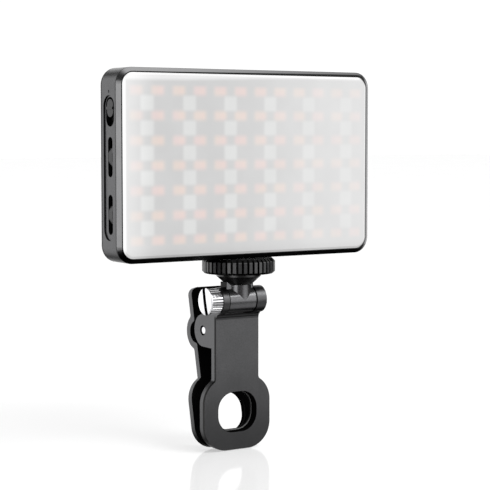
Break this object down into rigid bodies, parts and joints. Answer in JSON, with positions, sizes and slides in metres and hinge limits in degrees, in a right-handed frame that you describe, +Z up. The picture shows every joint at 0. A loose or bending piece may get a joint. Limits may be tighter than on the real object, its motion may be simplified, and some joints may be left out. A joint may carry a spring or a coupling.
{
  "type": "clip-on fill light",
  "caption": "Flat rechargeable lamp panel with a diffuser on a swivelling, tilting post, held by a spring clip with padded ring jaws that leave a camera clear.",
  "frame": {"origin": "where the clip grips: middle of the camera hole, on the rear face of the front jaw's rubber pad", "axes": "+X along the panel towards the charging port, -Y the way the light shines, +Z up from the clip to the panel"},
  "size_m": [0.108, 0.0353, 0.1397],
  "materials": {
    "frame": "satin",
    "cover": "matte",
    "diffuser": "satin",
    "board": "satin",
    "led": "gloss",
    "lens": "gloss",
    "cell": "satin",
    "steel": "satin",
    "silver": "satin",
    "brass": "satin",
    "black": "matte",
    "button": "satin",
    "post": "satin",
    "clip": "satin",
    "rubber": "matte"
  },
  "bodies": {
    "clip": {"front_jaw": "clip", "front_pad": "rubber", "pivot_pin": "silver", "clip_spring": "steel"},
    "jaw": {"rear_jaw": "clip", "rear_pad": "rubber"},
    "screw": {"thumb_screw": "silver"},
    "post": {"tilt_post": "post"},
    "wheel": {"locking_wheel": "black", "stud": "steel", "stud_ring": "steel"},
    "panel": {"housing": "frame", "back_cover": "cover", "diffuser": "diffuser", "led_board": "board", "warm_leds": "led", "cool_leds": "led", "battery": "cell", "control_board": "board", "charge_board": "board", "charge_socket": "steel", "power_switch": "black", "upper_switch": "black", "lower_switch": "black", "tripod_socket": "brass", "indicator_lens": "lens"},
    "power": {"power_slider": "button"},
    "upper": {"upper_toggle": "button"},
    "lower": {"lower_toggle": "button"}
  },
  "joints": [
    {"name": "clip_hinge", "type": "hinge", "parent": "clip", "child": "jaw", "pos_m": [0, 0.00515, 0.02985], "axis": [1, 0, 0], "range_deg": [0, 18], "stiffness_Nm_per_rad": 0.25, "springref_deg": -34.38, "deforming": ["clip_spring"]},
    {"name": "thumb_turn", "type": "hinge", "parent": "clip", "child": "screw", "pos_m": [0, -0.00505, 0.04175], "axis": [1, 0, 0], "range_deg": [0, 360]},
    {"name": "tilt", "type": "hinge", "parent": "clip", "child": "post", "pos_m": [0, -0.00505, 0.04175], "axis": [1, 0, 0], "range_deg": [-15, 90]},
    {"name": "wheel_turn", "type": "hinge", "parent": "post", "child": "wheel", "pos_m": [0, -0.00505, 0.05495], "axis": [0, 0, 1], "continuous": true},
    {"name": "panel_swivel", "type": "hinge", "parent": "post", "child": "panel", "pos_m": [0, -0.00505, 0.05755], "axis": [0, 0, 1], "continuous": true},
    {"name": "power_slide", "type": "slide", "parent": "panel", "child": "power", "axis": [0, 0, -1], "range_m": [0, 0.0026]},
    {"name": "upper_slide", "type": "slide", "parent": "panel", "child": "upper", "axis": [0, 0, 1], "range_m": [-0.002, 0.002], "stiffness_N_per_m": 300},
    {"name": "lower_slide", "type": "slide", "parent": "panel", "child": "lower", "axis": [0, 0, 1], "range_m": [-0.002, 0.002], "stiffness_N_per_m": 300}
  ]
}
